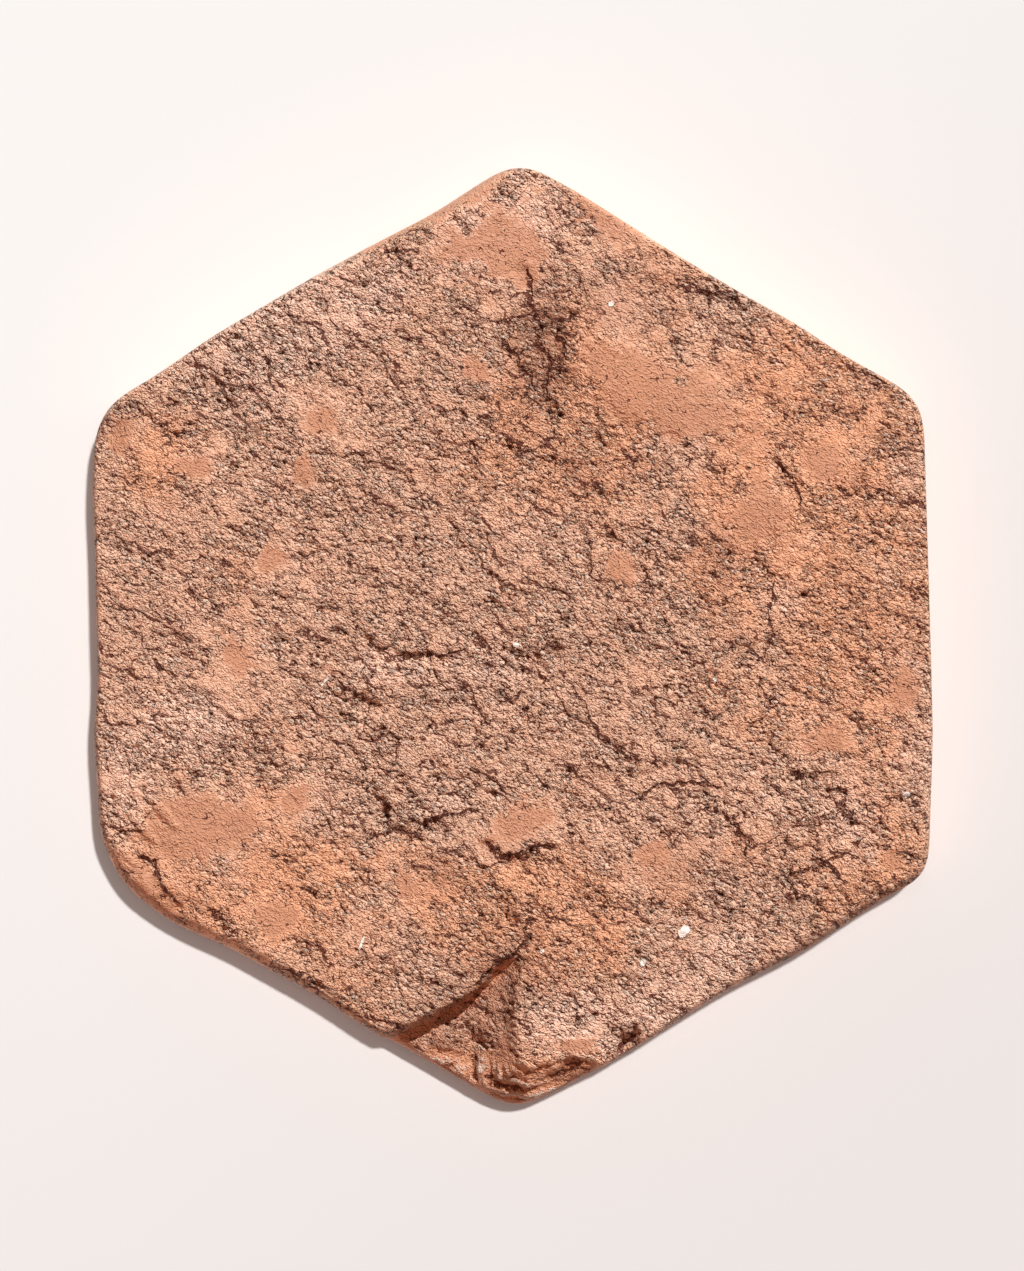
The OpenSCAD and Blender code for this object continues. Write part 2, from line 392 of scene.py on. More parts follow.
faceMarks = {
    # middle, half length, half width, turn: where the clay was wiped or pressed smooth
    "smooth": [
        (-3, 92, 14, 11, 0), (20, 101, 12, 6, -30), (36, 57, 24, 11, -25), (26, 16, 4.5, 5, 0),
        (2.4, -44.5, 9, 5.5, 50), (76, -25, 9, 5, 0), (-9, 63, 3.5, 3, 0), (-50, 40, 2.5, 3, 0),
        (-58, 19, 4.5, 4, 0), (-77, 40, 7, 3, 0), (-45, 51, 6, 3.5, 0), (-74, -46, 15, 9, -15),
        (-85, -49, 9, 5, -35), (-56, -69, 6, 4, 0), (-66, -5, 8, 4, -60), (60, 28, 8, 9, 0),
        (74, 41, 6, 4, -20), (-26, -60, 6, 4, 60), (-52, -40, 4, 5, 0), (94, -13, 4, 6, 0),
        (91, -54, 4, 3, 0), (33, -52, 6, 3.5, 0), (14, -98.5, 4, 1.6, 15), (-14, 103.5, 25, 3.2, 27),
        (-62, 80, 34, 1.8, 30), (-93, 48.5, 3, 6, -30), (-86, -62, 3, 8, 35)],
    # where it was only half pressed smooth
    "pressed": [
        (-2, 94, 20, 14, 0), (38, 60, 38, 21, -27), (62, 28, 18, 17, 0), (76, 42, 16, 12, 0),
        (76, -25, 15, 10, 0), (-72, -50, 27, 19, -10), (-31, -68, 10, 8, 0), (-57, -70, 11, 8, 0),
        (-58, 19, 9, 8, 0), (-67, -5, 11, 14, 0), (-46, 51, 10, 8, 0), (-78, 41, 13, 8, 0),
        (-52, -40, 8, 8, 0), (-27, -62, 12, 11, 0), (3, -46, 12, 10, 0), (11, -97, 9, 5, 10),
        (2, -102, 12, 8, 0), (28, 74, 20, 9, -20), (30, 92, 26, 7, -30), (34, -54, 14, 8, 0),
        (-84, -72, 10, 14, 45)],
    # where it was torn deepest
    "torn": [
        (6, 66, 9, 22, 0, 1.8), (6, -1, 20, 8, 0), (-24, -23, 13, 10, 0), (22, 46, 13, 13, 0),
        (-10, -14, 30, 9, 8), (-16, -42, 16, 8, 10), (80, -60, 14, 10, 0), (-60, 66, 24, 8, 32),
        (52, 80, 12, 8, -30)],
    # middle, half length, half width, turn, height: plates that stand up with a sharp rim
    "plates": [
        (-31, 1, 4.3, 2.6, 0, 1), (-19, -1.5, 6, 3, 10, 1), (-34, -12, 6.5, 3.6, -20, 1),
        (-26.5, -38, 3.6, 7.5, -8, 1.2), (2.4, -45, 9, 7, 30, 1), (36, 58, 24, 10, -25, 0.8),
        (8, -2, 9, 3, 10, 0.8), (-12, -30, 6, 4, 0, 0.8), (70, -42, 8, 4, 10, 0.8),
        (30, -30, 12, 4, 10, 0.7), (68, 20, 7, 12, 10, 0.6), (50, 88, 9, 3.5, -30, 0.8),
        (-86, -60, 5, 5, 0, 0.6), (-90, -44, 9, 1.5, -52, 0.8), (-84, -42, 8, 1.3, -50, 0.7),
        (-93, -52, 6, 1.3, -48, 0.7)],
    # middle, half length, half width, turn, strength: warmer, paler and browner clay; the browner marks are
    # partly stains and partly painted shade in the fold, on its slope, in the hollow at the left and in the
    # bite at the lower right, and some darken the lower edges
    "warm": [
        (-14, 103.5, 27, 4, 27, 1), (72, 25, 34, 48, 0, 1), (16, 56, 24, 26, 0, 0.9),
        (-55, -60, 36, 20, -20, 0.9), (2, -66, 36, 15, 0, 1), (-87, 42, 13, 13, 0, 0.8),
        (84, -56, 20, 20, 0, 0.8), (0, -106, 30, 10, 0, 1)],
    "chalky": [
        (-3, 98, 17, 16, 0, 1), (-93, -34, 10, 16, 0, 0.7), (36, -90, 24, 9, 30, 1),
        (-58, 76, 30, 9, 32, 1), (98, -30, 6, 18, 0, 0.5), (52, -75, 14, 8, 30, 1), (24, 82, 5, 3, 0, 0.5),
        (-30, -8, 12, 8, 0, 0.8), (-8, -10, 14, 8, 0, 0.7), (-16, -40, 9, 8, 0, 0.7),
        (-78, -22, 14, 9, 0, 0.9), (-62, 56, 14, 8, 0, 0.6), (64, 8, 8, 8, 0, 0.7),
        (80, -46, 9, 12, 0, 0.8), (64, -40, 7, 6, 0, 0.6), (3, 24, 16, 10, 0, 0.4),
        (14, -94, 14, 8, 20, 1), (-48, 72, 26, 8, 32, 1.3)],
    "stainAndShade": [
        (-98.5, 50, 1.6, 4.5, -8, 2.2), (27.4, -98.6, 3.6, 1.8, 40, 2.4), (-76, -72, 16, 2.2, -33, 0.9),
        (-87, -61, 10, 3.5, -50, 1), (72, -73, 16, 2.4, 30, 0.9), (7, 68, 8, 17, 0, 1.4),
        (-17, -92.5, 18, 4, 34, 1.6), (-3, -78, 9, 3, 45, 1.4), (-5, -92, 9, 4, 75, 1.3),
        (26, 78, 16, 12, -20, 0.8), (16, 40, 9, 9, 0, 0.7), (34, 42, 8, 7, 0, 0.6), (48, 22, 9, 9, 0, 0.9),
        (48, 58, 9, 8, 0, 0.6), (40, -56, 16, 7, 0, 0.8), (-16, -56, 9, 8, 0, 0.8), (80, 40, 9, 8, 0, 0.6),
        (64, 42, 8, 8, 0, 0.5), (-16, -90, 16, 9, 40, 1), (0, -80, 12, 12, 0, 0.8),
        (-48, 38, 7, 7, 0, 0.6)],
    # small things in the clay: two ends and half width of each pale stone or fibre, and of each dark straw
    "paleStone": [
        (40.7, -71.6, 41.5, -70.8, 1.1), (94, -38.8, 94.5, -38.5, 0.8), (31.2, -79, 31.5, -78.3, 0.7),
        (7.2, -76, 7.2, -75.9, 0.6), (48.5, -10.9, 48.5, -10.8, 0.6), (23.6, 78.8, 23.8, 79, 0.7),
        (0.8, -2.4, 1.3, -2.8, 0.6), (-45.6, -12.4, -43.6, -10.2, 0.35),
        (-36.6, -75.4, -35.4, -72.6, 0.35)],
    "darkStraw": [(-51.6, -83.2, -49.4, -80, 0.35), (-44.8, -12.8, -43.8, -13.6, 0.35)],
    # cracks: half the width of the opening, and the points it runs through
    "cracks": [
        [0.30, (63.3, 41.2), (66, 37.7), (68.4, 34.4), (69.3, 29.5)],
        [0.45, (28.2, -39.9), (34, -37.3), (39, -35.6), (42.8, -34.9), (50, -36.3)],
        [0.50, (76.2, -36.1), (79.3, -37.8), (79.1, -43), (86, -46.4)],
        [0.45, (78.6, -43), (73.9, -44.7), (71.2, -43), (69, -40.4)],
        [0.30, (66.9, -32.5), (69.5, -33.7), (77.4, -33.5)],
        [0.35, (62.6, -58.6), (69.5, -56.4), (75.3, -55), (80, -52.3)],
        [0.30, (47.3, -40.4), (55.7, -48.8), (56.2, -53.3)],
        [0.30, (59.3, 17.4), (62.1, 12.9), (62.4, 7.6), (61.4, -5)],
        [0.35, (21.3, 25.8), (25.1, 22)],
        [0.35, (30.4, 16), (33.5, 11.5)],
        [0.50, (39.7, 82.9), (45.6, 82.7), (51.9, 80.8), (55.4, 78.4)],
        [0.60, (-29.4, -39.7), (-29.2, -45.4), (-24.1, -48.5), (-20.8, -44.9), (-13.6, -43.3), (-7.4, -42.3)],
        [0.60, (-6.7, -50), (-2.9, -53), (1, -53.8), (5.5, -51.1), (10.5, -49.7)],
        [0.50, (-89.2, -53), (-85.6, -55.4), (-84.2, -58.2), (-83.2, -60.7), (-81.5, -62.6), (-79.6, -64.5)],
        [0.45, (-72.4, -65.6), (-70.5, -67.5), (-68.5, -69.5)],
        [0.30, (-43.2, -10.2), (-38.5, -13.9), (-35.4, -15.9), (-31.3, -16.2)],
        [0.30, (-34.4, -1.9), (-30.8, -4.3), (-26.8, -1)],
        [0.35, (-27.6, -5.6), (-22.6, -5.2), (-19.8, -3.8), (-14.3, -4.8), (-11, -5.4)],
        [0.35, (-1.5, -16.2), (3, -12.9)],
        [0.50, (6.2, -2.4), (11.2, -2.9)],
        [0.60, (3, 88), (4.5, 83.5), (3.4, 79), (7.2, 74.5), (6, 70), (9.5, 65), (7.6, 59), (10, 53)],
        [0.45, (14, 76), (11, 71.5), (12.6, 67), (10.2, 62.4)],
        [0.45, (-2.5, 71), (1.6, 66.2), (4, 60.5), (2.8, 56)],
        [0.60, (-8, -83.2), (-3.9, -79.4), (1, -75.6), (3.3, -73.1), (4.3, -69.5), (3.4, -65)],
        [0.60, (24.5, -100), (26.6, -98.2), (29.6, -95.8)],
    ],
}


def markField(x, y, name):
    field = np.zeros_like(x)
    for mark in faceMarks[name]:
        height = mark[5] if len(mark) > 5 else 1.0
        field = np.maximum(field, height * ovalShare(x, y, *mark[:5]))
    return field


def crackFields(x, y):
    # how far the nearest crack is, signed by side, and how wide it is open there
    side = np.full_like(x, 9.0)
    opening = np.full_like(x, -9.0)
    nearest = np.full_like(x, 1e9)
    for halfWidth, *route in faceMarks["cracks"]:
        route = np.array(route, dtype=float)
        lengths = np.hypot(*np.diff(route, axis=0).T)
        starts = np.concatenate([[0], np.cumsum(lengths)])
        for (ax, ay), (bx, by), length, start in zip(route[:-1], route[1:], lengths, starts):
            ux = (bx - ax) / length
            uy = (by - ay) / length
            along = (x - ax) * ux + (y - ay) * uy
            held = np.clip(along, 0, length)
            gap = np.hypot(x - ax - held * ux, y - ay - held * uy)
            across = (y - ay) * ux - (x - ax) * uy
            isNearer = gap < nearest
            nearest = np.where(isNearer, gap, nearest)
            side = np.where(isNearer, gap * np.sign(across), side)
            walked = (start + held) / starts[-1]
            wide = halfWidth * np.clip(4 * walked * (1 - walked) + 0.25, 0, 1) ** 0.5
            past = np.abs(along - held)
            opening = np.where(isNearer, wide - 1.5 * past - np.maximum(gap - 1.4, 0), opening)
    return np.clip(side, -9, 9), np.clip(opening, -9, 9)


def inclusionField(x, y, name):
    # distance to the nearest one, less than 0 inside it
    nearest = np.full_like(x, 3.0)
    for ax, ay, bx, by, halfWidth in faceMarks[name]:
        length = math.hypot(bx - ax, by - ay)
        along = np.clip(((x - ax) * (bx - ax) + (y - ay) * (by - ay)) / length ** 2, 0, 1)
        gap = np.hypot(x - ax - along * (bx - ax), y - ay - along * (by - ay))
        nearest = np.minimum(nearest, gap - halfWidth)
    return nearest


def makeMesh(name, points, faces):
    mesh = bpy.data.meshes.new(name)
    mesh.from_pydata((points * mm).tolist(), [], faces)
    mesh.validate()
    mesh.update()
    mesh.shade_smooth()
    return mesh


def setField(mesh, name, values):
    field = mesh.attributes.new(name, "FLOAT", "POINT")
    field.data.foreach_set("value", np.asarray(values, dtype=np.float32))


tileMesh = makeMesh("tile_form", points, faces)
x, y, z = points.T
side, opening = crackFields(x, y)
isFace = ease((z - 9) / 4)
rimShare = np.hypot(x, y) / reachAt(np.arctan2(y, x))
isBed = (np.arange(len(points)) >= bedFirst) * 1.0
for field, mark in (("smoothClay", "smooth"), ("pressedClay", "pressed"), ("tornShare", "torn"),
                    ("plateRise", "plates")):
    setField(tileMesh, field, markField(x, y, mark) * isFace)
setField(tileMesh, "warmClay", markField(x, y, "warm"))
setField(tileMesh, "chalkyClay", markField(x, y, "chalky"))
# painted shade on the fold's slope, which faces away from the raking lamp, goes in with the browner marks
setField(tileMesh, "stainAndShadeClay", markField(x, y, "stainAndShade") + slopeShare(x, y) * isFace * 1.1)
setField(tileMesh, "crackSide", side)
setField(tileMesh, "crackOpening", opening * isFace - 9 * (1 - isFace))
# where the fold's wall gets its painted shade colour
setField(tileMesh, "wallShadeShare", wallShare(x, y) * isFace)
setField(tileMesh, "plainHeight", points[:, 2])
setField(tileMesh, "flankClay", ease((17 - z) / 3) * ease((rimShare - 0.9) / 0.06))
flankBroken = ease((16 - z) / 4) * 0.6
setField(tileMesh, "brokenClay", np.maximum(brokenShare(x, y) * isFace, flankBroken) * (1 - isBed))
setField(tileMesh, "wornRim", ease((rimShare - 0.955) / 0.04) * (1 - isBed))
for field in ("paleStone", "darkStraw"):
    setField(tileMesh, field, inclusionField(x, y, field) * isFace + 3 * (1 - isFace))
setField(tileMesh, "bedShare", isBed)
tile = bpy.data.objects.new("terracotta_tile", tileMesh)
bpy.context.scene.collection.objects.link(tile)
print("face marks placed")


# torn clay relief, wired the same way in the geometry tree and in the material

tornClay = {
    "swellSize": 16.0,
    "swellHeight": 0.12,
    # clods like overlapping scales: size, height of the broken edge
    "scales": [(13.0, 0.72), (5.5, 0.62), (2.6, 0.52)],
    "tearTowards": 262.0,
    "drawnTurn": 27.0,
    "pressedFlat": 0.5,
    "drawnScale": (0.8, 1.18, 1.0),
    "sunk": 0.36,
    "crumbHeight": 0.7,
    "pitSize": 1.7,
    "pitDepth": 1.0,
    "grainSize": 1.05,
    "grainHeight": 0.95,
    "speckSize": 0.42,
    "speckHeight": 0.05,
    "doubled": 0.5,
    "plateRise": 0.4,
    "ledgeRise": 0.6,
    "crackDepth": 1.2,
    "layerSize": 0.55,
    "layerHeight": 0.35,
    "dotSize": 2.8,
    "dotDepth": 0.4,
    # how far towards the raking lamp the clay is looked at, whose higher edges throw a painted shadow on the
    # place
    "shadowStep": (0.28, 0.54, 0.0),
    # how far towards the raking lamp each crumb is compared, for its painted shadow and painted highlight
    "crumbStep": (0.12, 0.24, 0.0),
    "seed": 3.7,
}


def drawnPlace(start, place):
    # the hand drew its mould down to the right, so that everything torn is longer that way
    turned = start.node("ShaderNodeVectorRotate", {"rotation_type": "Z_AXIS"}, {
        "Vector": place, "Angle": math.radians(tornClay["drawnTurn"])})
    return turned * tornClay["drawnScale"]


def warpWires(start, place, size, detail=3.0):
    # how far the clods of one size are pulled out of shape
    return start.noiseVector(place, size * 0.9, detail, tornClay["seed"] + size) * (size * 1.6)


def scaleWires(start, place, size, warp):
    # clods that each rise towards the lower left and break off there, 0 to 1
    warped = place + warp
    seen = start.cells(warped, size, "Position")
    lot = start.node("ShaderNodeSeparateXYZ", {}, {0: seen.sibling("Color")}, "X")
    towards = math.radians(tornClay["tearTowards"])
    away = (math.cos(towards) / size, math.sin(towards) / size, 0)
    offset = start.node("ShaderNodeVectorMath", {"operation": "SUBTRACT"}, {0: warped, 1: seen})
    along = start.node("ShaderNodeVectorMath", {"operation": "DOT_PRODUCT"}, {0: offset, 1: away}, "Value")
    return (along.most(-0.6).least(0.6) + 0.6) * lot * lot


def tornWires(start, place, warps):
    total = 0.0
    for (size, rise), warp in zip(tornClay["scales"], warps):
        total = total + scaleWires(start, place, size, warp) * rise
    return total


def crumbWires(start, place, seed):
    # rounded crumbs, 0 on their tops and lower towards the gaps
    gap = start.cells(place + start.noiseVector(place, 1.0, 1.0, seed) * 0.9, 1.1)
    return -gap * gap


def spotWires(start, place, size, reach, seed, detail=1.0):
    # scattered pointed spots, 1 at their tips and 0 between them
    vector = start.noiseVector(place, size, detail, seed)
    flat = start.node("ShaderNodeVectorMath", {"operation": "MULTIPLY"}, {0: vector, 1: (11.5, 11.5, 0)})
    length = start.node("ShaderNodeVectorMath", {"operation": "LENGTH"}, {0: flat}, "Value")
    return (1 - length * (1 / reach)).most(0.0)


def slowWires(start, place, marks):
    # what changes slowly over the face: worked out once for each point of the mesh and kept there
    seed = tornClay["seed"]
    warped = place + start.noiseVector(place, 2.5, 1.0, seed) * 1.5
    drawn = drawnPlace(start, place)
    ragged = start.noise(place, 1.6, 3.0, 0.6, seed + 1)
    patches = start.noise(warped, 9.0, 3.0, 0.6, seed + 3)
    smooth = (marks["smoothClay"] + patches * 0.17 + ragged * 0.1).step(0.4, 0.7)
    pressed = (marks["pressedClay"] + patches * 0.2 + ragged * 0.1).step(0.3, 0.75)
    rough = 1.08 - smooth - pressed * 0.55 + marks["tornShare"] * 0.3 - patches * 0.12
    large, middle = [size for size, rise in tornClay["scales"][:2]]
    return {
        "smoothShare": smooth,
        "pressedShare": pressed,
        "roughShare": rough.most(0.13) * (1 - marks["flankClay"] * 0.65),
        "unevenShare": start.noise(place, 3.4, 2.0, 0.6, seed + 30).step(-0.5, 0.6, 0.55, 1.3),
        "crackDrift": start.noise(place, 5.0, 3.0, 0.6, seed + 22) * 0.6,
        "largeWarp": warpWires(start, drawn, large),
        "middleWarp": warpWires(start, drawn, middle),
    }


def reliefWires(start, place, marks, slow, isFine):
    # height of the torn clay in millimetres, and its tone: from -1 in the hollows to 1 on the tips; the tone
    # is mostly painted light: painted shade in pits, pores and cracks, painted shadow behind higher clay and
    # on crumb sides turned from the raking lamp, and painted highlight on those facing it
    clay = tornClay
    seed = clay["seed"]
    drawn = drawnPlace(start, place)
    ragged = start.noise(place, 1.6, 2.0, 0.6, seed + 1)
    smooth = slow["smoothShare"]
    pressed = slow["pressedShare"]
    plates = (marks["plateRise"] + ragged * 0.05).step(0.3, 0.42)
    height = plates * clay["plateRise"]
    if not isFine:
        height = height + start.noise(place, clay["swellSize"], 2.0, 0.5, seed) * clay["swellHeight"]
    rough = slow["roughShare"]
    smallest = clay["scales"][2][0]
    warps = (slow["largeWarp"], slow["middleWarp"], warpWires(start, drawn, smallest, 2.0))
    whole = tornWires(start, drawn, warps)
    flat = (whole - clay["pressedFlat"] + ragged * 0.06).step(-0.08, 0.06) * 0.55
    torn = whole.least(clay["pressedFlat"] + ragged * 0.03)
    coarse = rough * (1 - flat) * (1 - marks["brokenClay"] * 0.75) * slow["unevenShare"]
    crumb = crumbWires(start, drawn, seed + 9)
    fine = (crumb + 0.3) * clay["crumbHeight"]
    pit = spotWires(start, drawn, clay["pitSize"], 0.8, seed + 4)
    # a crack parts two ragged lips, the upper one higher than the lower one
    side = marks["crackSide"] + ragged * 0.3 + slow["crackDrift"]
    near = marks["crackOpening"].step(-2.4, -0.2)
    ledge = (side.step(-0.25, 0.45) - 0.5) * near
    level = start.node("ShaderNodeCombineXYZ", {}, {"Z": marks["plainHeight"] + ragged * 0.08})
    level = level + place * (0.05, 0.05, 0.0)
    layers = start.noise(level, clay["layerSize"], 2.0, 0.6, seed + 20)
    layers = layers * (marks["brokenClay"] - 0.4).most(0.0) * 1.6
    torn = (torn - clay["sunk"]) * rough * (1 - marks["brokenClay"] * 0.85) + ledge * clay["ledgeRise"]
    torn = torn + layers * clay["layerHeight"]
    if not isFine:
        height = height + torn + (fine - pit * clay["pitDepth"]) * coarse
    # painted shade in the pits, and paler and darker layers where the clay is broken
    tone = layers * 0.65 - pit * 2.2 * coarse
    if isFine:
        grain = spotWires(start, drawn, clay["grainSize"], 1.4, seed + 6, 1.5)
        dot = spotWires(start, drawn, clay["dotSize"], 0.4, seed + 12).step(0.1, 0.6)
        dot = dot * (smooth + pressed * 0.6 + flat).least(1.0)
        height = (height + torn) * clay["doubled"] + (fine - pit * clay["pitDepth"]) * coarse
        height = height + grain * clay["grainHeight"] * (coarse * 0.9 + 0.1)
        speck = start.noise(place, clay["speckSize"], 1.0, 0.5, seed + 15) * (rough * 0.8 + 0.2)
        height = height + speck * clay["speckHeight"]
        # painted shadow: clay that stands higher towards the raking lamp darkens what lies behind it
        further = drawnPlace(start, place + clay["shadowStep"])
        under = (tornWires(start, further, warps) - whole).step(0.08, 0.4)
        crumbRiseTowardLight = crumbWires(start, drawnPlace(start, place + clay["crumbStep"]), seed + 9) - crumb
        dashes = start.noise(place, 1.2, 1.0, 0.5, seed + 33).step(-0.6, 0.5, 0.4, 1.4)
        # paler grain tips, and painted highlight on the crumb sides that face the raking lamp
        tone = tone + (grain * 0.4 + crumbRiseTowardLight.step(-0.03, -0.3) * 0.6) * coarse
        # painted shadow on the crumb sides turned away from the raking lamp
        tone = tone - crumbRiseTowardLight.step(0.06, 0.28) * 1.5 * coarse * dashes
        # painted shade in the pores, and the painted shadow behind higher clay
        tone = tone + speck * 0.15 - dot * 1.3 - under * rough * 1.1
        height = height - dot * clay["dotDepth"]
        gap = (marks["crackOpening"] * 0.9 + ragged * 0.2 - abs(side)).step(-0.15, 0.2)
        height = height - gap * clay["crackDepth"]
        # painted shade in the cracks
        tone = tone - gap * 1.2
    return height, tone, smooth


# fields kept on the mesh: placed one by one, worked out by the tree, and the clods' warps, which are vectors
markNames = ("smoothClay", "pressedClay", "tornShare", "plateRise", "crackSide", "crackOpening", "brokenClay",
             "wornRim", "warmClay", "chalkyClay", "stainAndShadeClay", "plainHeight", "wallShadeShare", "flankClay")
slowNames = ("smoothShare", "pressedShare", "roughShare", "unevenShare", "crackDrift")
warpNames = ("largeWarp", "middleWarp")

# how strongly the relief moves each part of the skin, and how far it may rise above the level of the face
reliefSizes = {
    "Face Relief": 1.0,
    "Flank Relief": 0.2,
    "Bed Relief": 0.3,
    "Top Limit": 0.45,
    "Top Level": 20.9,
}


def treeField(start, name):
    return start.node("GeometryNodeInputNamedAttribute", {"data_type": "FLOAT"}, {"Name": name}, "Attribute")


def clayField(start, name, out="Fac"):
    return start.node("ShaderNodeAttribute", {"attribute_name": name}, {}, out)


def buildReliefTree(material):
    tree = bpy.data.node_groups.new("torn_clay_relief", "GeometryNodeTree")
    face = tree.interface
    face.new_socket("Geometry", in_out="INPUT", socket_type="NodeSocketGeometry")
    for name in reliefSizes:
        face.new_socket(name, in_out="INPUT", socket_type="NodeSocketFloat")
    face.new_socket("Geometry", in_out="OUTPUT", socket_type="NodeSocketGeometry")
    entry = tree.nodes.new("NodeGroupInput")
    leave = tree.nodes.new("NodeGroupOutput")
    start = Wire(tree)
    given = {socket.name: Wire(tree, socket) for socket in entry.outputs if socket.name}
    place = start.node("GeometryNodeInputPosition") * (1 / mm)
    marks = {name: treeField(start, name) for name in markNames}
    bed = treeField(start, "bedShare")
    slow = slowWires(start, place, marks)
    height = reliefWires(start, place, marks, slow, False)[0]
    normal = start.node("GeometryNodeInputNormal")
    upward = start.node("ShaderNodeSeparateXYZ", {}, {0: normal}, "Z")
    strength = upward.step(0.2, 0.75).between(given["Flank Relief"], given["Face Relief"])
    strength = bed.between(strength, given["Bed Relief"])
    level = start.node("ShaderNodeSeparateXYZ", {}, {0: place}, "Z")
    height = height.least(given["Top Limit"] + given["Top Level"] - level) + upward.step(0.75, 0.2) * 0.35
    strength = strength * (level.step(0.2, 3.5) + bed) * (1 - marks["wornRim"] * 0.6)
    height = bed.between(height, height.least(0.0))
    stored = given["Geometry"]
    for name, value in (*slow.items(), ("reliefHeight", height * strength)):
        kind = "FLOAT_VECTOR" if name in warpNames else "FLOAT"
        stored = start.node("GeometryNodeStoreNamedAttribute", {"data_type": kind, "domain": "POINT"}, {
            "Geometry": stored, "Name": name, "Value": value})
    moved = start.node("GeometryNodeSetPosition", {}, {
        "Geometry": stored, "Offset": normal * (height * strength * mm)})
    solid = start.node("GeometryNodeRealizeInstances", {}, {0: moved})
    dressed = start.node("GeometryNodeSetMaterial", {}, {"Geometry": solid, "Material": material})
    tree.links.new(dressed.socket, leave.inputs[0])
    return tree


# fired clay: what its colours are mixed from, with painted shade and painted highlight among them

clayColours = {
    "rosy": (0.75, 0.435, 0.287, 1),
    "warm": (0.78, 0.385, 0.215, 1),
    "chalky": (0.95, 0.62, 0.46, 1),
    # painted shade, for hollows, pits, pores, cracks and shadowed sides
    "deep": (0.14, 0.028, 0.012, 1),
    # paler tips, and painted highlight on sides facing the raking lamp
    "paleTipAndHighlight": (0.68, 0.57, 0.48, 1),
    "wiped": (0.55, 0.262, 0.148, 1),
    # the redder colour of broken clay, and painted warm shade under the lip and on the fold's wall and slope
    "broken": (0.6, 0.265, 0.14, 1),
    # painted shade: a darker, warmer copy of the clay for the fold's wall, which lies in the raking lamp's
    # shade
    "wallShade": (0.58, 0.255, 0.14, 1),
    # browner clay: partly stains, partly painted shade in the fold, on its slope and in hollows
    "stainAndShade": (0.4, 0.175, 0.1, 1),
    "stone": (0.86, 0.8, 0.72, 1),
    "straw": (0.1, 0.045, 0.025, 1),
}


def buildClayMaterial():
    material = bpy.data.materials.new("fired_clay")
    material.use_nodes = True
    tree = material.node_tree
    tree.nodes.clear()
    start = Wire(tree)
    place = start.node("ShaderNodeTexCoord", {}, {}, "Object") * (1 / mm)
    marks = {name: clayField(start, name) for name in markNames}
    slow = {name: clayField(start, name) for name in slowNames}
    for name in warpNames:
        slow[name] = clayField(start, name, "Vector")
    sunk = clayField(start, "sunkDepth")
    fray = start.noise(place, 0.8, 2.0, 0.5, 47.0)
    stone = (clayField(start, "paleStone") + fray * 0.04).step(0.1, -0.1)
    straw = (clayField(start, "darkStraw") + fray * 0.15).step(0.1, -0.1)
    height, tone, smooth = reliefWires(start, place, marks, slow, True)
    patchy = start.noise(place, 22.0, 2.0, 0.6, 41.0)
    mottled = start.noise(place, 3.0, 2.0, 0.65, 43.0)
    colour = (marks["warmClay"] + patchy * 0.2).step(0.1, 0.8).mixed(clayColours["rosy"], clayColours["warm"])
    chalk = (marks["chalkyClay"] + patchy * 0.1).step(0.15, 0.9) * 0.62
    colour = (chalk + mottled.step(-0.5, 3.0) * 0.25).mixed(colour, clayColours["chalky"])
    # browner clay, partly stains and partly painted shade
    stainShadeShare = (marks["stainAndShadeClay"] + patchy * 0.1).step(0.1, 1.3) * 0.6
    colour = stainShadeShare.mixed(colour, clayColours["stainAndShade"])
    colour = (smooth * 0.9).mixed(colour, clayColours["wiped"])
    # redder broken clay, partly painted warm shade under the lip and on the fold's wall and slope
    colour = (marks["brokenClay"] * 0.8).mixed(colour, clayColours["broken"])
    # painted shade on the fold's wall
    colour = (marks["wallShadeShare"] * 0.8).mixed(colour, clayColours["wallShade"])
    # painted highlight, and paler tips, where the tone is highest
    colour = (tone.step(0.1, 1.1) * 0.8).mixed(colour, clayColours["paleTipAndHighlight"])
    # painted shade in the hollows below the clay round them and where the tone is lowest
    dark = (sunk.step(0.1, 1.2) * 0.3 + tone.step(-0.2, -1.4) * 1.2).least(0.95)
    colour = dark.mixed(colour, clayColours["deep"])
    colour = (stone * 0.9).mixed(colour, clayColours["stone"])
    colour = (straw * 0.8).mixed(colour, clayColours["straw"])
    height = height * (1 - stone * 0.8) + stone * 0.4
    normal = start.node("ShaderNodeBump", {}, {"Strength": 1.0, "Distance": mm, "Height": height})
    shader = start.node("ShaderNodeBsdfPrincipled", {}, {
        "Base Color": colour, "Roughness": 0.6, "Specular IOR Level": 0.4, "Normal": normal})
    output = tree.nodes.new("ShaderNodeOutputMaterial")
    tree.links.new(shader.socket, output.inputs["Surface"])
    return material


clay = buildClayMaterial()
relief = tile.modifiers.new("relief", "NODES")
relief.node_group = buildReliefTree(clay)
for socket in relief.node_group.interface.items_tree:
    if socket.name in reliefSizes:
        relief[socket.identifier] = reliefSizes[socket.name]
evaluated = tile.evaluated_get(bpy.context.evaluated_depsgraph_get())
reliefMesh = bpy.data.meshes.new_from_object(evaluated)
tile.modifiers.remove(relief)
tile.data = reliefMesh
print("relief applied:", len(reliefMesh.polygons), "faces")


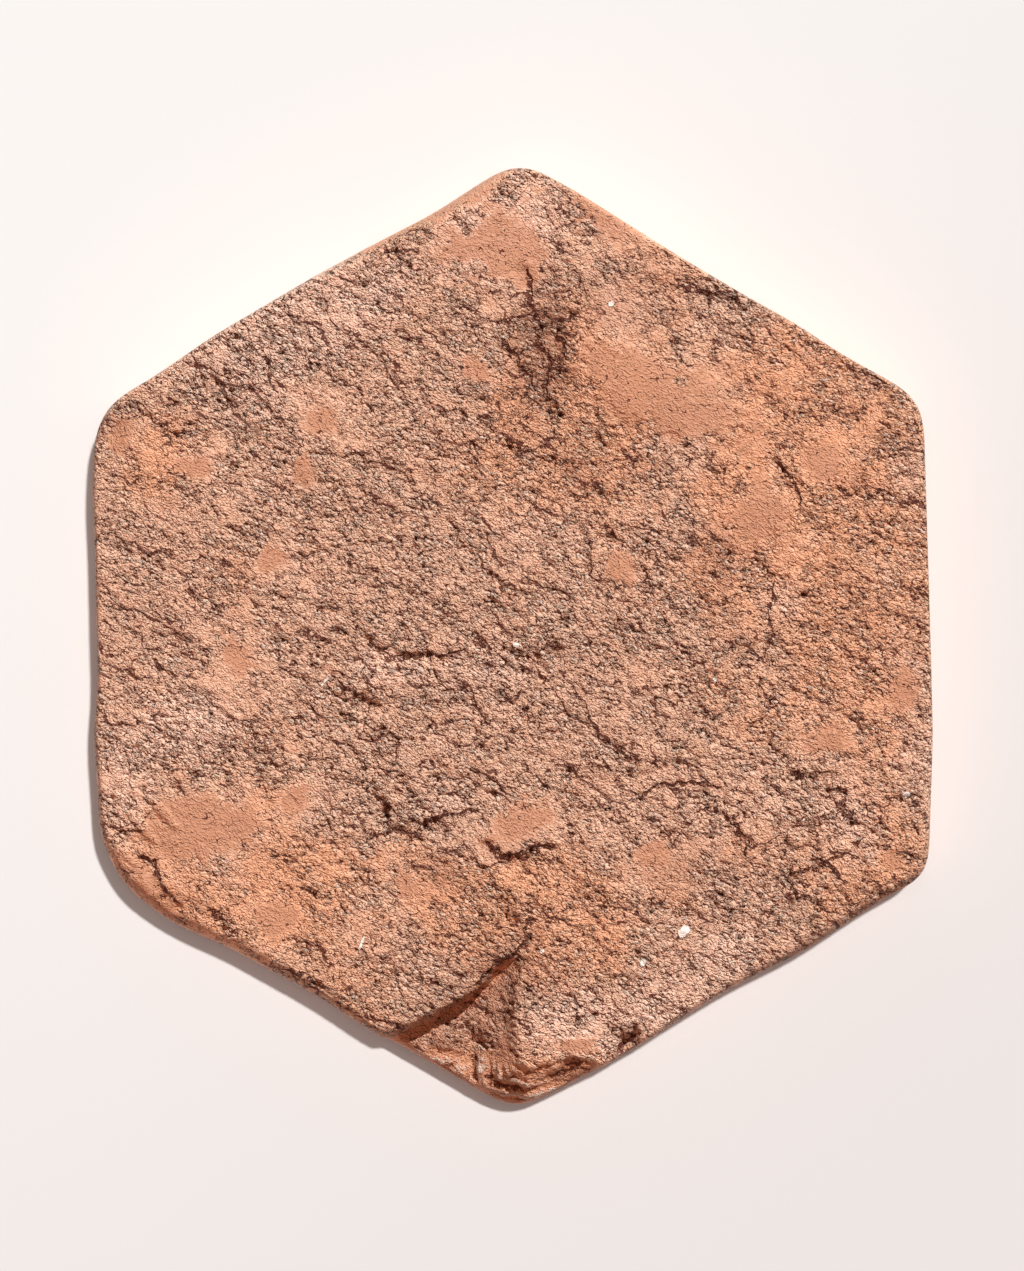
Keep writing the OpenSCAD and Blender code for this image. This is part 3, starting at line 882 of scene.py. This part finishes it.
def storeSunkDepth(mesh):
    # how far each point lies below the clay round it, in millimetres; the material darkens by it as painted
    # shade
    count = len(mesh.vertices)
    height = np.empty(count, dtype=np.float32)
    mesh.attributes["reliefHeight"].data.foreach_get("value", height)
    edges = np.empty(len(mesh.edges) * 2, dtype=np.int32)
    mesh.edges.foreach_get("vertices", edges)
    a = edges[0::2]
    b = edges[1::2]
    degree = np.bincount(a, minlength=count) + np.bincount(b, minlength=count)
    around = height.copy()
    for _ in range(12):
        total = np.bincount(a, weights=around[b], minlength=count)
        total = total + np.bincount(b, weights=around[a], minlength=count)
        around = 0.5 * around + 0.5 * total / degree
    setField(mesh, "sunkDepth", around - height)


storeSunkDepth(reliefMesh)
print("hollows measured")


# the skin laid flat: map units for each millimetre, and where the face, the bed and the flank's strips start
bakeLayout = {
    "scale": 0.0034,
    "bedScale": 0.00138,
    "middle": (101.5, 114.5),
    "faceStart": (0.01, 0.01),
    "bedStart": (0.705, 0.01),
    "flankStep": 1.45,
    "stripLength": 286,
    "stripStart": (0.01, 0.8),
    "stripGap": 0.09,
    "lastStripStart": (0.72, 0.35),
}


def bakeMap(faces, points, bedFirst):
    # the last of the flank's three strips stands upright beside the others
    layout = bakeLayout
    count = 6 * tileForm["faceRings"]
    firstBand = ringStart(tileForm["faceRings"])
    corners = np.array(faces)
    ring = (corners - firstBand) // count
    onBed = (corners >= bedFirst).any(axis=1)
    edgeRings = tileForm["edgeRings"]
    onFlank = ~onBed & (ring.max(axis=1) > edgeRings)
    place = points[corners][:, :, :2] + layout["middle"]
    laid = place * layout["scale"] + layout["faceStart"]
    laid[onBed] = place[onBed] * layout["bedScale"] + layout["bedStart"]
    rim = points[firstBand + 12 * count:firstBand + 13 * count, :2]
    steps = np.hypot(*(np.roll(rim, -1, axis=0) - rim).T)
    walked = np.concatenate([[0], np.cumsum(steps)])
    column = (corners[onFlank] - firstBand) % count
    column = np.where((column == 0) & (column.max(axis=1, keepdims=True) == count - 1), count, column)
    along = walked[column]
    strip = (along.min(axis=1) // layout["stripLength"])[:, None]
    along = (along - strip * layout["stripLength"]) * layout["scale"]
    down = (ring[onFlank] - edgeRings) * layout["flankStep"] * layout["scale"]
    x, y = layout["stripStart"]
    lastX, lastY = layout["lastStripStart"]
    laid[onFlank, :, 0] = np.where(strip == 2, lastX + down, x + along)
    laid[onFlank, :, 1] = np.where(strip == 2, lastY + along, y + strip * layout["stripGap"] + down)
    return laid


layer = reliefMesh.uv_layers.new(name="OFBake")
layer.data.foreach_set("uv", bakeMap(faces, points, bedFirst).astype(np.float32).ravel())

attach(tile, "root")
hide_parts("tile")


# floor, light and camera

stage = {
    "floorSize": 6.0,
    # the floor's colour goes from paler at the upper left to darker at the lower right: a painted fall-off of
    # light
    "floorCorners": ((0.965, 0.928, 0.9, 1), (0.855, 0.797, 0.772, 1)),
    # direction, height, strength, spread, colour, and whether it lights the tile or the floor;
    # the two warm fills are light thrown back by clay into the tile's own hollows
    "lamps": {
        "raking_sun": (63.0, 34.0, 5.05, 1.0, (0.98, 1.0, 1.02), "tile"),
        "warm_fill": (243.0, 50.0, 0.7, 30.0, (1.0, 0.33, 0.14), "tile"),
        "soft_fill": (0.0, 90.0, 0.2, 150.0, (1.0, 0.35, 0.1), "tile"),
        "high_sun": (55.0, 73.0, 2.47, 2.5, (1.0, 1.0, 1.0), "floor"),
        "overhead_fill": (0.0, 90.0, 0.38, 30.0, (0.97, 0.98, 1.0), "floor"),
    },
    "skyColour": (1.0, 0.95, 0.92, 1),
    "skyStrength": 0.13,
    # the camera looks straight down; the height of what it sees is measured at the tile's top
    "lens": 150.0,
    "sensor": 36.0,
    "frameTall": 0.3040,
    "topOfTile": 0.0205,
    "aimedBelow": 0.0004,
}


def makeFloor():
    half = stage["floorSize"] / 2
    corners = [(-half, -half, 0), (half, -half, 0), (half, half, 0), (-half, half, 0)]
    mesh = bpy.data.meshes.new("floor")
    mesh.from_pydata(corners, [], [(0, 1, 2, 3)])
    mesh.update()
    floor = bpy.data.objects.new("floor", mesh)
    bpy.context.scene.collection.objects.link(floor)
    material = bpy.data.materials.new("pale_floor")
    material.use_nodes = True
    tree = material.node_tree
    tree.nodes.clear()
    start = Wire(tree)
    place = start.node("ShaderNodeTexCoord", {}, {}, "Object")
    x = start.node("ShaderNodeSeparateXYZ", {}, {0: place}, "X")
    y = start.node("ShaderNodeSeparateXYZ", {}, {0: place}, "Y")
    share = (x * 1.0 - y * 1.3).step(-0.3, 0.3)
    colour = share.mixed(*stage["floorCorners"])
    shader = start.node("ShaderNodeBsdfPrincipled", {}, {
        "Base Color": colour, "Roughness": 0.9, "Specular IOR Level": 0.1})
    output = tree.nodes.new("ShaderNodeOutputMaterial")
    tree.links.new(shader.socket, output.inputs["Surface"])
    mesh.materials.append(material)
    return floor


def makeLamp(name, turn, height, strength, spread, colour, target):
    light = bpy.data.lights.new(name, "SUN")
    light.color = colour
    light.energy = strength
    light.angle = math.radians(spread)
    lamp = bpy.data.objects.new(name, light)
    azimuth = math.radians(turn)
    rise = math.radians(height)
    flatShare = math.cos(rise)
    towards = Vector((math.cos(azimuth) * flatShare, math.sin(azimuth) * flatShare, math.sin(rise)))
    lamp.rotation_euler = towards.to_track_quat("Z", "Y").to_euler()
    lamp.location = towards * 2
    bpy.context.scene.collection.objects.link(lamp)
    litByIt = bpy.data.collections.new("lit_by_" + name)
    litByIt.objects.link(target)
    lamp.light_linking.receiver_collection = litByIt


def makeSky():
    world = bpy.data.worlds.new("studio")
    bpy.context.scene.world = world
    world.use_nodes = True
    sky = world.node_tree.nodes["Background"].inputs
    sky["Color"].default_value = stage["skyColour"]
    sky["Strength"].default_value = stage["skyStrength"]


def makeCamera():
    data = bpy.data.cameras.new("camera")
    data.lens = stage["lens"]
    data.sensor_fit = "VERTICAL"
    data.sensor_height = stage["sensor"]
    camera = bpy.data.objects.new("camera", data)
    bpy.context.scene.collection.objects.link(camera)
    distance = stage["lens"] / stage["sensor"] * stage["frameTall"]
    camera.location = (0, -stage["aimedBelow"], stage["topOfTile"] + distance)
    bpy.context.scene.camera = camera


receivers = {"tile": tile, "floor": makeFloor()}
for name, (*values, receiver) in stage["lamps"].items():
    makeLamp(name, *values, receivers[receiver])
makeSky()
makeCamera()
bpy.context.scene.view_settings.view_transform = "Standard"
print("stage set")
